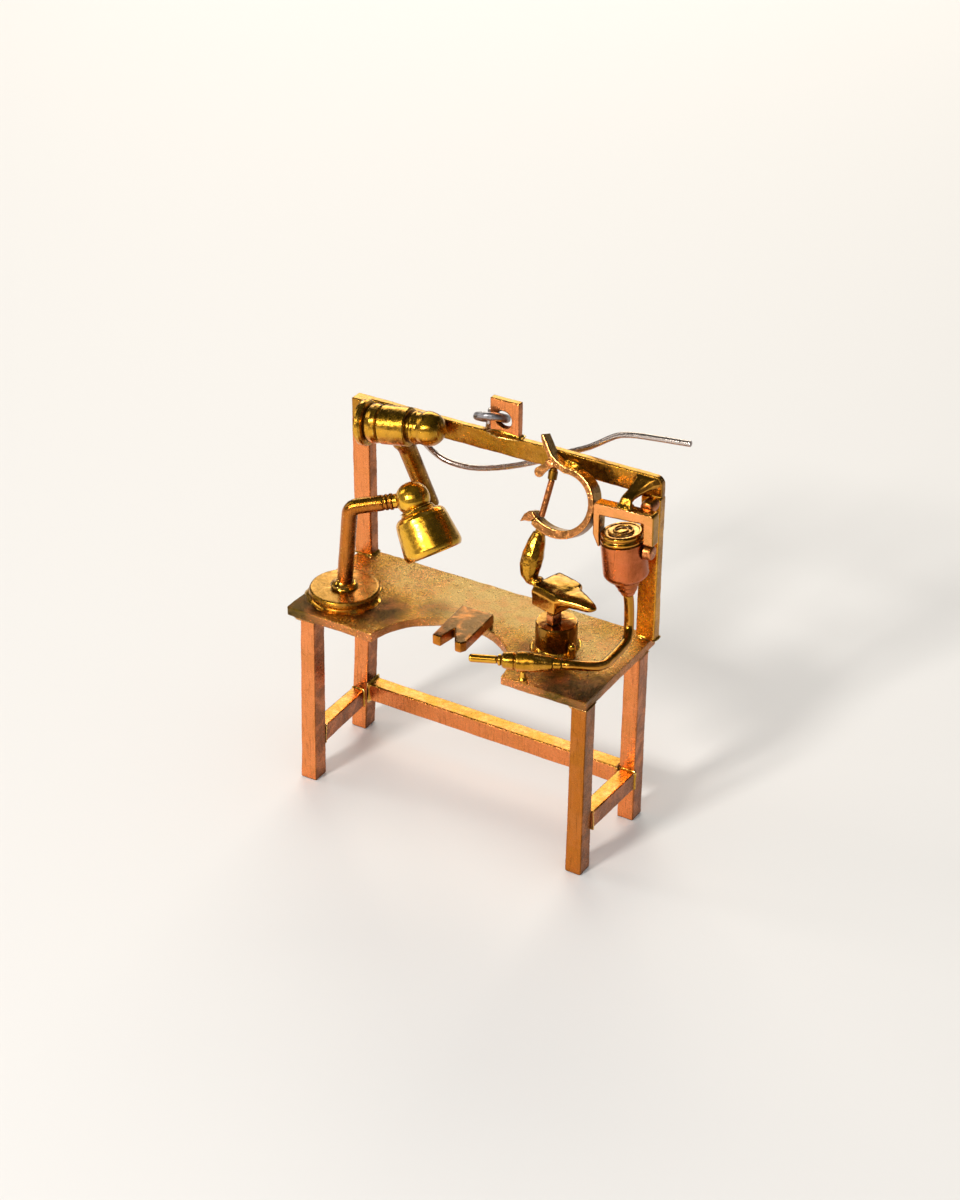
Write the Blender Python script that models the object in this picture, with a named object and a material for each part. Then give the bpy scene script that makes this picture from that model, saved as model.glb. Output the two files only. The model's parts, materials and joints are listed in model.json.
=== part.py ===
"""Miniature goldsmith's bench in soldered brass, hung from a jump ring and an ear wire.

Dimensions are in millimetres while the shapes are worked out, and each mesh is stored in metres.
X runs along the bench to the right, Y runs away from the person sitting at it, Z is up.
Parts that are soldered together keep a thin solder film (FILM) between them.
"""

import math

import bmesh
import bpy
import numpy as np
from mathutils import Vector

MM = 0.001
FILM = 0.03  # solder film between two soldered pieces
SHARP = math.radians(35)  # edges sharper than this stay crisp, the rest are shaded smooth

# Bench: top plate with a half-round cut-out, four legs, three stretchers.
STOCK = 2.0  # the square brass bar used for legs and stretchers
TOP_WIDTH = 37.3
TOP_DEPTH = 15.6
TOP_THICK = 1.1
TOP_Z = 22.2
CUTOUT_RADIUS = 8.05
CUTOUT_CENTRE = (0.43, -8.37)
LEG_TOP = TOP_Z - TOP_THICK - FILM
STRETCHER_TOP = 6.4
STRETCHER_TALL = 2.15

# Back frame that carries the tools.
FRAME_BACK = TOP_DEPTH / 2
RAIL_FRONT = 6.95
RAIL_LOW = 39.3
RAIL_TOP = 41.6
POST_WIDTH = 2.15
LEFT_POST_FRONT = 6.3
RIGHT_POST_FRONT = 6.62
POST_OUT = 18.95

# Hanging tab, jump ring and ear wire.
TAB_LEFT, TAB_RIGHT, TAB_TOP = -1.76, 1.79, 45.7
TAB_FRONT, TAB_BACK = 6.98, 7.86
HOLE_RADIUS = 1.0
HOLE_CENTRE = (-0.09, 43.42)
RING_RADIUS = 1.58
RING_WIRE = 0.46
RING_CENTRE = (-1.77, 7.42, 43.11)
RING_ACROSS = (0.978, 0.0, 0.21)  # the ring hangs a little lower at its left
RING_BACK = (0.101, 0.876, -0.472)  # and well down at its back
EYE_TURN = math.radians(131)  # where round the ring the ear wire's eye sits
EYE_RADIUS = 0.88
EAR_WIRE = 0.345

# Lamp.
LAMP_BASE_CENTRE = (-14.42, -2.68)
LAMP_BASE_RADIUS = 3.9
LAMP_BASE_TALL = 1.33
LAMP_ROD = 0.88
ELBOW_EASE = 0.95  # how far from the elbow's corner its bend begins
LAMP_BALL = (-7.38, 0.39, 34.95)
LAMP_BALL_RADIUS = 1.87
SHADE_AXIS = (0.569, -0.211, -0.795)
SHADE_SEAT = 1.2  # from the ball's middle to the top of the shade
SHADE_LONG = 5.13
SHADE_MOUTH = 3.28
SHADE_SHOULDER = 2.83
SHADE_WALL = 0.34

# Hammer, soldered along the rail.
HAMMER_FACE = (-16.1, 4.1, 40.24)
HAMMER_AXIS = (0.9877, 0.1075, 0.1115)
FACE_RADIUS = 2.55
HEAD_RADIUS = 2.15
PEEN_RADIUS = 1.9
HAFT_RADIUS = 1.03
HAFT_LONG = 9.0

# Piercing saw: it leans forward from the rail down to the anvil.
SAW_LEAN = 0.38
SAW_ORIGIN = (0.0, 5.25, 42.0)
SAW_DEPTH = 1.7
BOW_CENTRE = (9.0, -4.7)
BOW_RADIUS = 3.4
BOW_THICK = 0.7
BOW_DEPTH = (1.7, 2.3, 2.28, 1.69)  # from the jaw's height up to the rail, which the bow's back is soldered to

# Anvil on its stump.
STUMP_CENTRE = (10.55, 0.35)
STUMP_RADIUS = 2.27
STUMP_TALL = 3.15
ANVIL_TURN = math.radians(-16.5)
ANVIL_CORNER = (8.25, 1.89)  # middle of the anvil's left end
ANVIL_LONG = 3.55
ANVIL_WIDE = 4.4
ANVIL_LOW, ANVIL_HIGH = 26.7, 29.15

# Hanging motor and handpiece.
MOTOR_CENTRE = (16.35, 4.08, 33.4)
MOTOR_AXIS = (-0.13, 0.0, 0.9915)
MOTOR_RADIUS = 2.42
YOKE_FRONT, YOKE_BACK = 3.4, 4.8
HOSE_RADIUS = 0.55
BUR_TIP = (5.52, -9.36, 24.3)
HAND_AXIS = (0.9166, 0.3998, 0.0)

BRASS = (0.80, 0.56, 0.20)
BRIGHT = (0.86, 0.64, 0.26)
ROSE = (0.80, 0.46, 0.30)
DARK = (0.34, 0.27, 0.12)
STEEL = (0.46, 0.46, 0.48)


def clear_scene():
    for old in list(bpy.data.objects):
        bpy.data.objects.remove(old, do_unlink=True)


def unit(vector):
    vector = np.asarray(vector, float)
    return vector / np.linalg.norm(vector)


def across(axis):
    """Two unit vectors square to the axis and to each other."""
    axis = unit(axis)
    helper = np.array([0.0, 0.0, 1.0]) if abs(axis[2]) < 0.9 else np.array([0.0, 1.0, 0.0])
    first = unit(np.cross(helper, axis))
    return first, np.cross(axis, first)


def brass(name, colour, rough):
    made = bpy.data.materials.new(name)
    made.use_nodes = True
    shader = made.node_tree.nodes["Principled BSDF"]
    shader.inputs["Base Color"].default_value = (*colour, 1.0)
    shader.inputs["Metallic"].default_value = 1.0
    shader.inputs["Roughness"].default_value = rough
    return made


def finished(name, work, colour, rough, pivot=(0.0, 0.0, 0.0)):
    """Turns a bmesh in millimetres into a named object in metres, faces outwards, origin at the pivot."""
    bmesh.ops.remove_doubles(work, verts=work.verts, dist=1e-5)
    bmesh.ops.recalc_face_normals(work, faces=work.faces)
    bmesh.ops.translate(work, verts=work.verts, vec=-Vector(pivot))
    bmesh.ops.scale(work, verts=work.verts, vec=(MM, MM, MM))
    mesh = bpy.data.meshes.new(name)
    work.to_mesh(mesh)
    work.free()
    mesh.shade_smooth()
    mesh.set_sharp_from_angle(angle=SHARP)
    made = bpy.data.objects.new(name, mesh)
    made.location = Vector(pivot) * MM
    bpy.context.scene.collection.objects.link(made)
    made.data.materials.append(brass(name, colour, rough))
    return made


def soften(item, width=0.08, segments=1):
    bevel = item.modifiers.new("soften", "BEVEL")
    bevel.width = width * MM
    bevel.segments = segments
    bevel.limit_method = "ANGLE"
    bevel.angle_limit = math.radians(40)
    return item


def cut(item, cutter):
    cutter.hide_render = True
    cutter.display_type = "WIRE"
    tool = item.modifiers.new("cut", "BOOLEAN")
    tool.operation = "DIFFERENCE"
    tool.solver = "EXACT"
    tool.object = cutter
    return item


def lofted(name, rings, colour, rough=0.25, closed=False, pivot=(0.0, 0.0, 0.0)):
    """Skin over rings of equally many points, with a flat cap at each end unless it closes on itself.

    The first ring is a face, and each further ring is that face extruded and moved on.
    """
    work = bmesh.new()
    face = work.faces.new([work.verts.new(point) for point in rings[0]])
    first = face
    for ring in [*rings[1:], rings[0]] if closed else rings[1:]:
        grown = bmesh.ops.extrude_face_region(work, geom=[face])
        if face is not first:
            bmesh.ops.delete(work, geom=[face], context="FACES_ONLY")
        face = next(item for item in grown["geom"] if isinstance(item, bmesh.types.BMFace))
        for vertex, point in zip(face.verts, ring):
            vertex.co = point
    if closed:
        bmesh.ops.delete(work, geom=[first, face], context="FACES_ONLY")
    return finished(name, work, colour, rough, pivot)


def plate(name, outline, low, high, colour, rough=0.25, frame=None):
    """Outline of (u, v) points given thickness from low to high along the third axis of the frame."""
    origin, along, up, out = frame or ((0, 0, 0), (1, 0, 0), (0, 1, 0), (0, 0, 1))
    origin, along, up, out = (np.asarray(v, float) for v in (origin, along, up, out))
    rings = [[origin + u * along + v * up + w * out for u, v in outline] for w in (low, high)]
    return lofted(name, rings, colour, rough)


def turned(name, profile, base, axis, colour, rough=0.2, sides=28, pivot=(0.0, 0.0, 0.0)):
    """Lathe work: a profile of (radius, height) along the axis, both ends on the axis, spun right round."""
    base, axis = np.asarray(base, float), unit(axis)
    first, _ = across(axis)
    work = bmesh.new()
    points = [work.verts.new(base + height * axis + radius * first) for radius, height in profile]
    edges = [work.edges.new(pair) for pair in zip(points[:-1], points[1:])]
    bmesh.ops.spin(work, geom=[*points, *edges], cent=base, axis=axis, angle=2 * math.pi, steps=sides,
                   use_merge=True)
    return finished(name, work, colour, rough, pivot)


def dome(radius, centre, start, end, steps):
    """Profile points round a ball, from one angle to another, measured from the axis."""
    angles = np.linspace(math.radians(start), math.radians(end), steps)
    return [(max(radius * math.sin(a), 0.0), centre - radius * math.cos(a)) for a in angles]


def smooth_path(knots, steps):
    """Catmull-Rom curve through the knots."""
    knots = [np.asarray(k, float) for k in knots]
    knots = [2 * knots[0] - knots[1], *knots, 2 * knots[-1] - knots[-2]]
    path = []
    for i in range(1, len(knots) - 2):
        a, b, c, d = knots[i - 1 : i + 3]
        for j in range(steps):
            t = j / steps
            path.append(
                0.5 * (2 * b + (c - a) * t + (2 * a - 5 * b + 4 * c - d) * t**2
                       + (3 * b - a - 3 * c + d) * t**3)
            )
    path.append(knots[-2])
    return path


def tube(name, path, radii, colour, rough=0.2, sides=12, pivot=(0.0, 0.0, 0.0)):
    """Round bar along a path; each ring is carried from the last so that the bar doesn't twist."""
    path = [np.asarray(p, float) for p in path]
    radii = [radii] * len(path) if isinstance(radii, (int, float)) else radii
    ways = [unit(b - a) for a, b in zip(path[:-1], path[1:])]
    side = across(ways[0])[0]
    rings = []
    for i, point in enumerate(path):
        before, after = ways[max(i - 1, 0)], ways[min(i, len(ways) - 1)]
        way = unit(before + after)
        side = unit(side - way * float(side @ way))
        other = np.cross(way, side)
        fold = unit(after - before) if np.linalg.norm(after - before) > 1e-6 else None
        stretch = 1 / max(float(before @ way), 0.5)
        ring = []
        for j in range(sides):
            turn = 2 * math.pi * j / sides
            spoke = math.cos(turn) * side + math.sin(turn) * other
            if fold is not None:
                spoke = spoke + (stretch - 1) * float(spoke @ fold) * fold
            ring.append(point + radii[i] * spoke)
        rings.append(ring)
    return lofted(name, rings, colour, rough, pivot=pivot)


def bar(name, low, high, colour, rough=0.3, width=0.09):
    """Four-cornered bar between two rectangles, each given as (x0, x1, y0, y1, z)."""
    rings = [
        [(x0, y0, z), (x1, y0, z), (x1, y1, z), (x0, y1, z)] for x0, x1, y0, y1, z in (low, high)
    ]
    return soften(lofted(name, rings, colour, rough), width)


def make_bench_top():
    half, front, back = TOP_WIDTH / 2, -TOP_DEPTH / 2, TOP_DEPTH / 2
    cx, cy = CUTOUT_CENTRE
    reach = math.acos((front - cy) / CUTOUT_RADIUS)
    outline = [(-half, back), (-half, front)]
    for j in range(33):
        turn = reach - 2 * reach * j / 32
        outline.append((cx - CUTOUT_RADIUS * math.sin(turn), cy + CUTOUT_RADIUS * math.cos(turn)))
    outline += [(half, front), (half, back)]
    soften(plate("bench_top", outline, TOP_Z - TOP_THICK, TOP_Z, BRASS, 0.42), 0.07)


def make_legs():
    depth = STOCK + 0.1
    front, back = -TOP_DEPTH / 2 + 0.15, 4.1
    legs = {
        "leg_front_left": (-17.68, -15.66, -17.0, -15.2, front),
        "leg_front_right": (16.6, 18.5, 16.82, 18.62, front),
        "leg_back_left": (-18.62, -16.65, -17.4, -15.5, back),
        "leg_back_right": (16.66, 18.62, 16.8, 18.64, back),
    }
    for name, (x0, x1, top0, top1, y) in legs.items():
        bar(name, (x0, x1, y, y + depth, 0.0), (top0, top1, y, y + depth, LEG_TOP), ROSE)


def make_stretchers():
    low = STRETCHER_TOP - STRETCHER_TALL
    front, back = -TOP_DEPTH / 2 + 0.15 + STOCK + 0.1 + FILM, 4.1 - FILM
    for name, near, far in (
        ("stretcher_left", (-17.45, -15.6, -0.1), (-18.3, -16.75, -1.0)),
        ("stretcher_right", (16.85, 18.72, 0.75), (16.85, 18.68, 0.15)),
    ):
        rings = []
        for y, (x0, x1, lift) in ((front, near), (back, far)):
            z0, z1 = low + lift, STRETCHER_TOP + lift
            rings.append([(x0, y, z0), (x1, y, z0), (x1, y, z1), (x0, y, z1)])
        soften(lofted(name, rings, BRASS, 0.3), 0.09)
    rings = []
    for x in (-16.1, 16.58):
        rings.append([(x, 4.15, low), (x, 6.1, low), (x, 6.1, STRETCHER_TOP), (x, 4.15, STRETCHER_TOP)])
    soften(lofted("stretcher_back", rings, BRASS, 0.3), 0.09)


def make_back_frame():
    foot = TOP_Z + FILM
    inner = POST_OUT - POST_WIDTH
    bar("post_left", (-POST_OUT, -inner, LEFT_POST_FRONT, FRAME_BACK, foot),
        (-POST_OUT, -inner, LEFT_POST_FRONT, FRAME_BACK, RAIL_TOP - 0.05), ROSE)
    bar("post_right", (inner, POST_OUT, RIGHT_POST_FRONT, FRAME_BACK, foot),
        (inner, POST_OUT, RIGHT_POST_FRONT, FRAME_BACK, RAIL_LOW - FILM), ROSE)
    round_off = 0.9
    outline = [(-inner + FILM, RAIL_LOW), (POST_OUT, RAIL_LOW)]
    for j in range(7):
        turn = math.pi / 2 * j / 6
        outline.append((POST_OUT - round_off + round_off * math.cos(turn),
                        RAIL_TOP - round_off + round_off * math.sin(turn)))
    outline.append((-inner + FILM, RAIL_TOP))
    upright = ((0, 0, 0), (1, 0, 0), (0, 0, 1), (0, 1, 0))
    soften(plate("top_rail", outline, RAIL_FRONT, FRAME_BACK, BRASS, 0.3, upright), 0.09)


def make_tab():
    """Flat tab standing on the rail, with the off-centre hole the ring hangs in."""
    cx, cz = HOLE_CENTRE
    low = RAIL_TOP + FILM
    corners = [(TAB_RIGHT, TAB_TOP), (TAB_LEFT, TAB_TOP), (TAB_LEFT, low), (TAB_RIGHT, low)]
    turns = sorted({2 * math.pi * j / 28 for j in range(28)}
                   | {math.atan2(z - cz, x - cx) % (2 * math.pi) for x, z in corners})
    rims = []
    for y in (TAB_FRONT, TAB_BACK):
        inside, outside = [], []
        for turn in turns:
            c, s = math.cos(turn), math.sin(turn)
            reach = min(
                ((TAB_RIGHT if c > 0 else TAB_LEFT) - cx) / c if abs(c) > 1e-9 else 1e9,
                ((TAB_TOP if s > 0 else low) - cz) / s if abs(s) > 1e-9 else 1e9,
            )
            inside.append((cx + HOLE_RADIUS * c, y, cz + HOLE_RADIUS * s))
            outside.append((cx + reach * c, y, cz + reach * s))
        rims += [inside, outside]
    rings = [rims[0], rims[1], rims[3], rims[2]]
    soften(lofted("hanging_tab", rings, ROSE, 0.3, closed=True), 0.06)


def make_ring_and_ear_wire():
    side = unit(RING_ACROSS)
    droop = unit(np.asarray(RING_BACK) - side * float(np.dot(side, RING_BACK)))
    up = np.cross(side, droop)
    centre = np.asarray(RING_CENTRE)
    rings = []
    for i in range(30):
        turn = 2 * math.pi * i / 30
        spoke = math.cos(turn) * side + math.sin(turn) * droop
        rings.append([centre + (RING_RADIUS + RING_WIRE * math.cos(a)) * spoke
                      + RING_WIRE * math.sin(a) * up
                      for a in (2 * math.pi * j / 12 for j in range(12))])
    lofted("jump_ring", rings, STEEL, 0.35, closed=True, pivot=RING_CENTRE)

    eye = centre + RING_RADIUS * (math.cos(EYE_TURN) * side + math.sin(EYE_TURN) * droop)
    along = unit(math.sin(EYE_TURN) * side - math.cos(EYE_TURN) * droop + np.array([0.25, 0.0, 0.0]))
    up = unit(np.array([0.0, 0, 1.0]) - along[2] * along)
    back = np.cross(up, along)
    path = [eye + EYE_RADIUS * (math.cos(a) * back + math.sin(a) * up)
            for a in (math.radians(195 - 250 * j / 18) for j in range(19))]
    hook = [(-3.1, 8.8, 40.85), (-4.1, 8.95, 40.3), (-5.8, 9.1, 39.9), (-8.4, 9.2, 39.75),
            (-10.7, 9.2, 39.3), (-11.75, 9.2, 37.95), (-11.15, 9.2, 36.6), (-8.9, 9.2, 35.4),
            (-5.6, 9.2, 35.3), (-2.0, 9.2, 36.25), (2.2, 9.2, 38.0), (6.5, 9.2, 40.35),
            (9.2, 9.2, 41.75), (12.1, 9.2, 43.75), (13.9, 9.2, 44.4), (16.5, 9.2, 44.75),
            (20.9, 9.2, 45.2)]
    path += smooth_path([path[-1] + 0.28 * unit(-0.82 * back - 0.57 * up), *hook], 3)
    tube("ear_wire", path, EAR_WIRE, STEEL, 0.25, 10, pivot=tuple(eye))


def make_bench_pin():
    low, high = TOP_Z + 0.53, TOP_Z + 1.73
    outline = [(-0.95, 0.05), (-0.5, -6.86), (0.53, -6.93), (0.9, -4.57), (2.35, -6.93),
               (3.02, -6.93), (3.36, -6.3), (3.04, 0.05)]
    soften(plate("bench_pin", outline, low, high, BRASS, 0.35), 0.08)
    bar("bench_pin_block", (-0.3, 3.0, -0.8, 0.0, TOP_Z + FILM), (-0.3, 3.0, -0.8, 0.0, low - FILM),
        DARK, 0.5, 0.05)


def make_lamp():
    x, y = LAMP_BASE_CENTRE
    r, tall = LAMP_BASE_RADIUS, LAMP_BASE_TALL
    foot = TOP_Z + FILM
    turned("lamp_base", [(0, 0), (r - 0.5, 0), (r - 0.3, 0.3), (r, 0.45), (r + 0.03, tall - 0.3),
                         (r - 0.12, tall), (0, tall)], (x, y, foot), (0, 0, 1), BRASS, 0.15, 40)
    deck = foot + tall + FILM
    turned("lamp_collar", [(0, 0), (1.5, 0), (1.42, 0.2), (1.1, 0.42), (0, 0.42)],
           (x + 0.02, y, deck), (0, 0, 1), BRIGHT, 0.2, 28)

    start = np.array([x + 0.06, y, deck + 0.5 + FILM])
    elbow = np.array([-13.42, y, 33.65])
    ball = np.asarray(LAMP_BALL)
    way_up, way_out = unit(elbow - start), unit(ball - elbow)
    reach = np.linalg.norm(ball - elbow) - LAMP_BALL_RADIUS - 0.3
    bend = [(1 - t) ** 2 * (elbow - ELBOW_EASE * way_up) + 2 * t * (1 - t) * elbow
            + t**2 * (elbow + ELBOW_EASE * way_out) for t in np.linspace(0, 1, 6)]
    path = [start, *bend]
    radii = [LAMP_ROD] * len(path)
    for back_off, radius in ((1.1, 1.0), (0.95, 0.84), (0.8, 1.02), (0.6, 1.02), (0.45, 0.84), (0.3, 1.04),
                             (0.0, 1.04)):
        path.append(elbow + (reach - back_off) * way_out)
        radii.append(LAMP_ROD * radius)
    tube("lamp_arm", path, radii, BRIGHT, 0.12, 20)

    shade_axis = unit(SHADE_AXIS)
    seat = SHADE_SEAT
    neck = [(0, -LAMP_BALL_RADIUS - 0.27), (0.8, -LAMP_BALL_RADIUS - 0.27), (0.8, -1.72)]
    socket = turned("lamp_socket", neck + dome(LAMP_BALL_RADIUS, 0, 26, 180, 14), ball, way_out,
                    BRIGHT, 0.1, 28)
    first, second = across(shade_axis)
    square = [ball + (seat - FILM) * shade_axis + 4 * (a * first + b * second)
              for a, b in ((-1, -1), (1, -1), (1, 1), (-1, 1))]
    knife = lofted("lamp_socket_knife", [square, [p + 4 * shade_axis for p in square]], DARK)
    cut(socket, knife)

    long, mouth, top, wall = SHADE_LONG, SHADE_MOUTH, SHADE_SHOULDER, SHADE_WALL
    turned("lamp_shade",
           [(0, 0), (1.72, 0), (1.86, 0.16), (1.95, 0.36), (2.3, 0.46), (2.62, 0.66), (top, 1.02),
            (top + 0.12, 1.6), (mouth - 0.02, long - 0.75), (mouth, long - 0.5), (mouth - 0.2, long),
            (mouth - 0.2 - wall, long), (mouth - wall - 0.1, long - 0.7), (top - wall, 1.3),
            (top - 1.0, 0.75), (0, 0.7)],
           ball + seat * shade_axis, shade_axis, BRIGHT, 0.1, 36)


def make_hammer():
    face, axis = np.asarray(HAMMER_FACE), unit(HAMMER_AXIS)
    r = FACE_RADIUS
    turned("hammer_face", [(0, 0), (r - 0.25, 0), (r - 0.06, 0.1), (r, 0.3), (r, 0.62), (r - 0.12, 0.85),
                           (r - 0.45, 0.92), (0, 0.92)], face, axis, BRIGHT, 0.12, 32)
    turned("hammer_neck", [(0, 0), (1.85, 0), (2.12, 0.35), (2.2, 0.85), (2.08, 1.35), (1.75, 1.65),
                           (0, 1.65)], face + (0.92 + FILM) * axis, axis, BRIGHT, 0.12, 32)
    start = 0.92 + 1.65 + 2 * FILM
    r = HEAD_RADIUS
    turned("hammer_head", [(0, 0), (r - 0.15, 0), (r, 0.12), (r, 3.15), (r - 0.15, 3.3), (1.55, 3.32),
                           (1.55, 3.55), (0, 3.55)], face + start * axis, axis, BRIGHT, 0.1, 32)
    start += 3.55 + FILM
    r = PEEN_RADIUS
    turned("hammer_peen", [(0, 0), (1.6, 0), (1.82, 0.15), (1.86, 0.45), (1.74, 0.62), (1.76, 0.8),
                           *dome(r, 1.85, 66, 180, 10)],
           face + start * axis, axis, BRIGHT, 0.12, 32)
    way = unit((0.21, 0.252, -0.944))
    root = face + 4.35 * axis
    path = [root + s * way for s in (1.5, 2.15, 2.6, 3.1, 6.0, HAFT_LONG + 1.9, HAFT_LONG + 2.15)]
    thick = [1.45, 1.35, 1.15, HAFT_RADIUS, HAFT_RADIUS, HAFT_RADIUS, HAFT_RADIUS * 0.7]
    haft = tube("hammer_handle", path, thick, BRASS, 0.2, 18)
    r = HEAD_RADIUS + FILM
    knife = turned("hammer_handle_knife", [(0, -4), (r, -4), (r, 4), (0, 4)], root, axis, DARK, 0.3, 48)
    cut(haft, knife)


def saw_frame():
    up = unit((0.0, SAW_LEAN, 1.0))
    out = np.cross((1.0, 0.0, 0.0), up)
    return np.asarray(SAW_ORIGIN), np.array([1.0, 0, 0]), up, out


def saw_point(u, v, depth=0.0):
    origin, along, up, out = saw_frame()
    return origin + u * along + v * up - depth * out


def make_saw():
    cx, cy = BOW_CENTRE
    path = [(5.22, 1.75), (5.45, 1.3), (5.95, 0.62), (6.62, -0.28), (7.5, -0.92)]
    thick = [0.34, 0.5, 0.54, 0.56, BOW_THICK]
    for j in range(25):
        turn = math.radians(97 - 234 * j / 24)
        spread = max(0.0, (-80 - math.degrees(turn)) / 57)
        radius = BOW_RADIUS + 0.48 * spread**2
        path.append((cx + radius * math.cos(turn), cy + radius * math.sin(turn)))
        thick.append(BOW_THICK + 0.28 * min(1.0, max(0.0, (j - 12) / 7)))
    path = [np.array(p) for p in path]
    outer, inner = [], []
    for i, point in enumerate(path):
        way = path[min(i + 1, len(path) - 1)] - path[max(i - 1, 0)]
        way = way / np.linalg.norm(way)
        side = np.array([-way[1], way[0]]) * thick[i] / 2
        outer.append(point + side)
        inner.append(point - side)
    rings = []
    for o, i in zip(outer, inner):
        back_i, back_o = (np.interp(point[1], (-5.0, -2.4, -1.4, 0.2), BOW_DEPTH) for point in (i, o))
        rings.append([saw_point(*o), saw_point(*i), saw_point(*i, back_i), saw_point(*o, back_o)])
    soften(lofted("saw_bow", rings, BRASS, 0.2), 0.06)
    frame = (saw_point(0, 0), *saw_frame()[1:])
    jaw = [(4.6, -7.88), (5.12, -7.62), (5.74, -7.6), (6.36, -7.0), (6.12, -6.72), (5.95, -6.42),
           (5.45, -6.48), (4.95, -6.95)]
    soften(plate("saw_jaw", jaw, -SAW_DEPTH + 0.1, 0.0, BRASS, 0.2, frame), 0.06)
    wing = []
    for start, end, (u, v), r in ((-10, -250, (5.72, -2.2), 0.58), (160, -70, (6.6, -1.24), 0.46)):
        for j in range(9):
            a = math.radians(start + (end - start) * j / 8)
            wing.append((u + r * math.cos(a), v + r * math.sin(a)))
    soften(plate("saw_wing_plate", wing, -0.27, 0.0, ROSE, 0.3, frame), 0.04)
    mid = 0.85
    top, low = saw_point(6.93, -1.2, mid), saw_point(7.0, -2.75, mid)
    tube("saw_collar", [top, top + 0.35 * (low - top), top + 0.42 * (low - top), low],
         [0.4, 0.4, 0.52, 0.5], DARK, 0.4, 16)
    tube("saw_blade", [saw_point(7.0, -2.75 - 2 * FILM, mid), saw_point(6.64, -6.86, mid)],
         0.35, ROSE, 0.2, 14)
    knots = [(6.79, 2.95, 33.72), (6.73, 2.6, 32.9), (6.6, 2.0, 31.4), (6.55, 1.62, 30.3),
             (6.66, 1.34, 29.45), (6.98, 1.24, 28.85), (7.3, 1.2, 28.6)]
    tube("saw_handle", knots, [0.68, 0.92, 1.24, 1.2, 0.98, 0.74, 0.5], BRASS, 0.2, 10)


def make_anvil():
    x, y = STUMP_CENTRE
    foot = TOP_Z + FILM
    r, tall = STUMP_RADIUS, STUMP_TALL
    turned("anvil_stump", [(0, 0), (r - 0.05, 0), (r, 0.1), (r, tall - 0.12), (r - 0.12, tall), (0, tall)],
           (x, y, foot), (0, 0, 1), BRASS, 0.15, 32)
    along = np.array([math.cos(ANVIL_TURN), math.sin(ANVIL_TURN), 0])
    aside = np.array([-along[1], along[0], 0])
    left = np.array([*ANVIL_CORNER, 0.0])
    low, high = foot + tall + FILM, ANVIL_LOW - FILM
    rings = [[left + s * along + t * aside + np.array([0, 0, z])
              for s, t in ((2.3, -2.1), (3.3, -2.1), (3.3, -0.7), (2.3, -0.7))] for z in (low, high)]
    soften(lofted("anvil_foot", rings, ROSE, 0.25), 0.08)
    half, z0, z1 = ANVIL_WIDE / 2, ANVIL_LOW, ANVIL_HIGH
    sections = ((0.0, -half, half, z0, z1, 0.1), (0.9, -half, half, z0, z1, 0.22),
                (2.6, -half, half, z0, z1, 0.24), (ANVIL_LONG, -half, half - 0.15, z0 + 0.05, z1, 0.12),
                (ANVIL_LONG + 0.2, -2.05, 1.4, z0 + 1.25, z1 - 0.05, 0.1),
                (4.9, -1.6, 1.1, z0 + 1.35, z1 - 0.12, 0.2), (6.1, -1.12, 0.8, z0 + 1.4, z1 - 0.2, 0.2),
                (7.0, -0.84, 0.55, z0 + 1.46, z1 - 0.32, 0.18), (7.42, -0.6, 0.36, z0 + 1.58, z1 - 0.45, 0.12),
                (7.6, -0.3, 0.1, z0 + 1.75, z1 - 0.62, 0.05))
    rings = []
    for s, t0, t1, a, b, crown in sections:
        wide, tall = t1 - t0, b - a
        ring = [(t0 + 0.05, a), (t1 - 0.05, a), (t1, b - 0.1 * tall), (t1 - 0.06 * wide, b + 0.3 * crown),
                (t1 - 0.35 * wide, b + crown), (t0 + 0.35 * wide, b + crown),
                (t0 + 0.1 * wide, b + 0.1 * crown), (t0, b - 0.25 * tall)]
        rings.append([left + s * along + t * aside + np.array([0, 0, z]) for t, z in ring])
    lofted("anvil", rings, BRASS, 0.2)
    turned("stump_peg", [(0, 0), (0.44, 0), (0.46, 1.15), (0.4, 1.5), (0.22, 1.72), (0, 1.78)],
           (13.1, -0.9, foot), (0, 0, 1), BRIGHT, 0.15, 16)


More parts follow.
